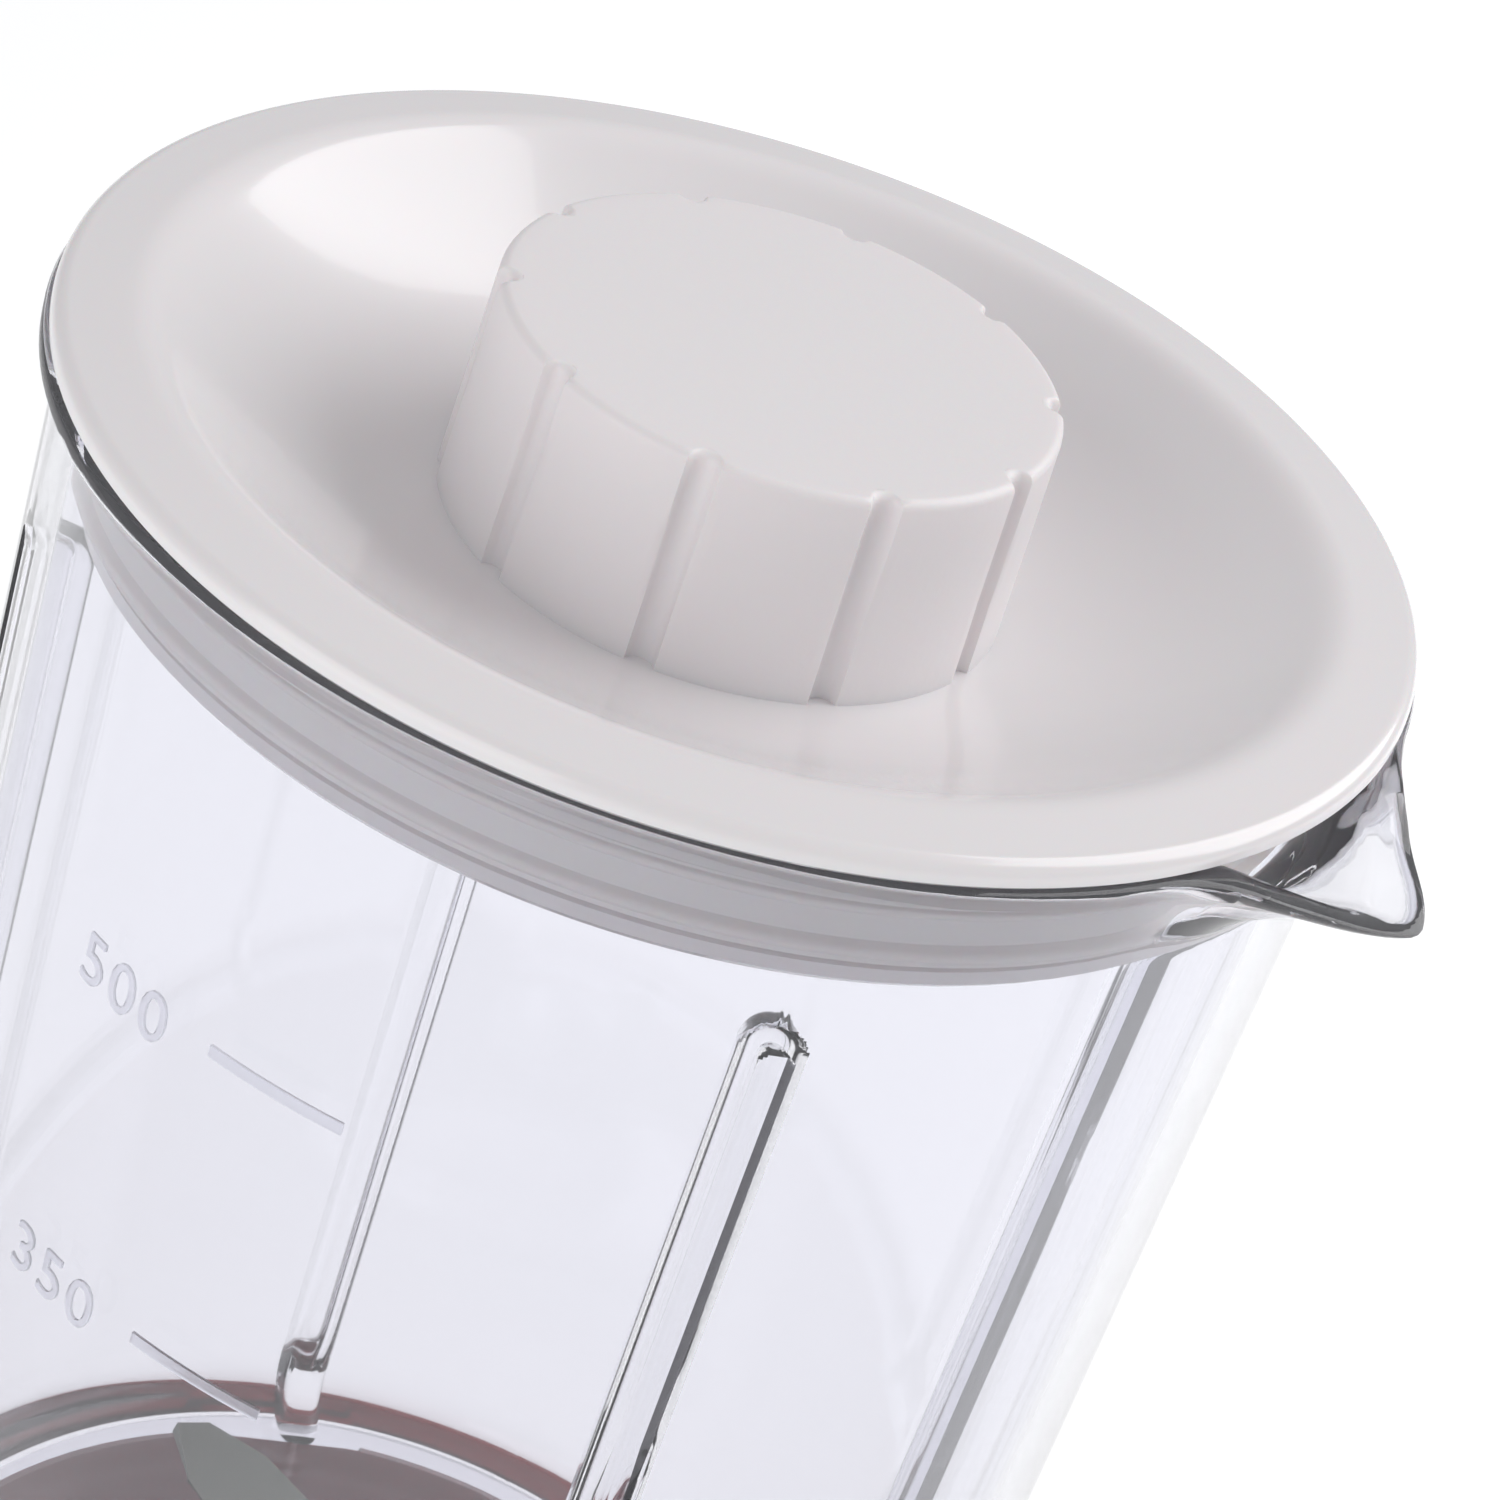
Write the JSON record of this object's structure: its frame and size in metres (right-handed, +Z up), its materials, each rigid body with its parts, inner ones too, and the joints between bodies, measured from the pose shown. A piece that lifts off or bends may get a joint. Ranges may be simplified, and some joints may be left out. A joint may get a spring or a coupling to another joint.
{
  "type": "countertop blender",
  "caption": "Compact countertop blender: a clear jar with a pouring spout, push-in lid and filler cap, on a flared motor base with a speed dial.",
  "frame": {"origin": "middle of the circle that the feet stand on, at the table's surface", "axes": "+Z up along the motor's axis, +X towards the pouring spout, -Y towards the speed dial, the cord inlet faces +Y"},
  "size_m": [0.128, 0.128, 0.263],
  "materials": {
    "white_gloss": "glossy moulded white",
    "white_matt": "fine matt moulded white",
    "silicone": "soft white silicone",
    "clear_plastic": "clear, polished",
    "red_gloss": "deep red, glossy",
    "black_plastic": "matt black",
    "yellow_plastic": "moulded box",
    "blue_wire": "insulated wire",
    "black_rubber": "matt rubber",
    "steel": "turned",
    "blade_steel": "ground, brushed",
    "zinc_plated": "zinc plated",
    "zinc_casting": "die cast",
    "lamination_steel": "stacked laminations, varnished",
    "bronze": "sintered bronze",
    "brass": "folded sheet",
    "copper_wire": "enamelled copper wire",
    "copper_bar": "turned copper bars",
    "carbon": "pressed carbon"
  },
  "bodies": {
    "base": {"base_housing": "red_gloss", "jar_seat": "red_gloss", "seat_screws": "zinc_plated", "bottom_cover": "black_plastic", "rubber_feet": "black_rubber", "cover_screws": "zinc_plated", "cord_inlet": "black_rubber", "terminal_block": "white_matt", "suppression_capacitor": "yellow_plastic", "internal_wires": "blue_wire", "dial_plate": "white_matt", "rotary_switch": "black_plastic", "switch_nut": "zinc_plated", "upper_bracket": "zinc_casting", "lower_bracket": "zinc_casting", "bracket_dampers": "black_rubber", "bracket_screws": "zinc_plated", "motor_bolts": "zinc_plated", "stator_core": "lamination_steel", "field_coils": "copper_wire", "upper_bearing": "bronze", "lower_bearing": "bronze", "brush_holders": "brass", "carbon_brushes": "carbon", "brush_springs": "steel"},
    "knob": {"speed_knob": "white_matt", "knob_pointer": "red_gloss", "dial_spindle": "steel"},
    "rotor": {"motor_shaft": "steel", "armature_core": "lamination_steel", "armature_winding": "copper_wire", "commutator": "copper_bar", "cooling_fan": "black_plastic", "drive_coupling": "black_plastic"},
    "jar": {"jar": "clear_plastic", "blade_holder": "zinc_casting", "holder_gasket": "black_rubber", "holder_nut": "steel", "spindle_bushes": "bronze", "spindle_seal": "black_rubber"},
    "blades": {"blade_spindle": "steel", "lower_blade": "blade_steel", "upper_blade": "blade_steel", "blade_nut": "steel", "driven_coupling": "black_plastic"},
    "lid": {"lid": "white_gloss", "lid_seal": "silicone"},
    "cap": {"filler_cap": "white_matt"}
  },
  "joints": [
    {"name": "knob_turn", "type": "hinge", "parent": "base", "child": "knob", "pos_m": [0, -0.04842, 0.052], "axis": [0, -0.9877, 0.1564], "range_deg": [-90, 45]},
    {"name": "motor_spin", "type": "hinge", "parent": "base", "child": "rotor", "pos_m": [0, 0, 0.06], "axis": [0, 0, 1], "continuous": true},
    {"name": "jar_lift", "type": "slide", "parent": "base", "child": "jar", "axis": [0, 0, 1], "range_m": [0, 0.06]},
    {"name": "blade_spin", "type": "hinge", "parent": "jar", "child": "blades", "pos_m": [0, 0, 0.13], "axis": [0, 0, 1], "continuous": true},
    {"name": "lid_lift", "type": "slide", "parent": "jar", "child": "lid", "axis": [0, 0, 1], "range_m": [0, 0.04]},
    {"name": "cap_lift", "type": "slide", "parent": "lid", "child": "cap", "axis": [0, 0, 1], "range_m": [0, 0.04]}
  ],
  "couplings": [
    {"joint": "blade_spin", "follows": "motor_spin", "ratio": 1}
  ]
}
